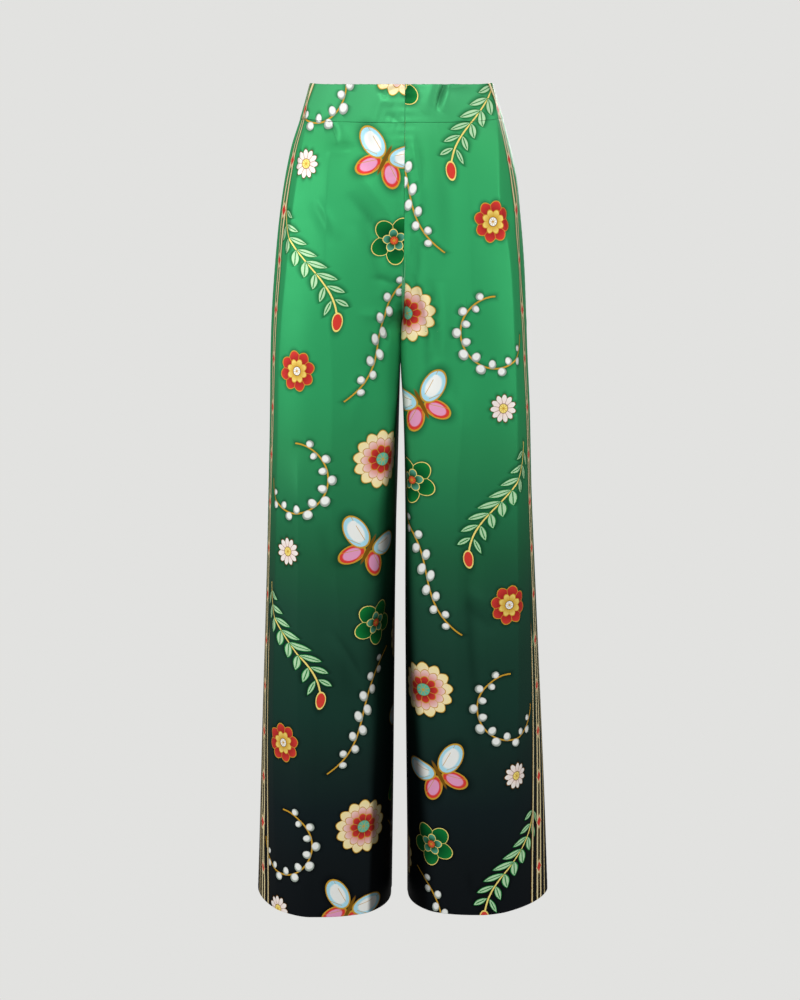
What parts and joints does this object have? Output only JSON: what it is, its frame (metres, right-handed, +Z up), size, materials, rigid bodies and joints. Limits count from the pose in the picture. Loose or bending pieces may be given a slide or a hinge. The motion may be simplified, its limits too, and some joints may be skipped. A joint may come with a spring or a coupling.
{
  "type": "pyjama trousers",
  "caption": "High-waisted wide-leg pyjama trousers in printed satin, filled out as worn, open at the waist and both hems.",
  "frame": {"origin": "middle of the waist opening, level with the waistband's top edge, where the wearer's waist holds the trousers up", "axes": "+Z up, along the legs towards the waist; -Y towards the front of the trousers; +X towards the wearer's left side"},
  "size_m": [0.4048, 0.2444, 1.102],
  "materials": {
    "front_right": "printed silk satin, green fading to near-black at the hems",
    "front_left": "printed silk satin, green fading to near-black at the hems",
    "back_right": "printed silk satin, green fading to near-black at the hems",
    "back_left": "printed silk satin, green fading to near-black at the hems",
    "waistband_front_right": "printed silk satin, bright green",
    "waistband_front_left": "printed silk satin, bright green",
    "waistband_back": "printed silk satin, bright green"
  },
  "bodies": {
    "root": {"front_right": "front_right", "front_left": "front_left", "back_right": "back_right", "back_left": "back_left", "waistband_front_right": "waistband_front_right", "waistband_front_left": "waistband_front_left", "waistband_back": "waistband_back"}
  },
  "joints": []
}
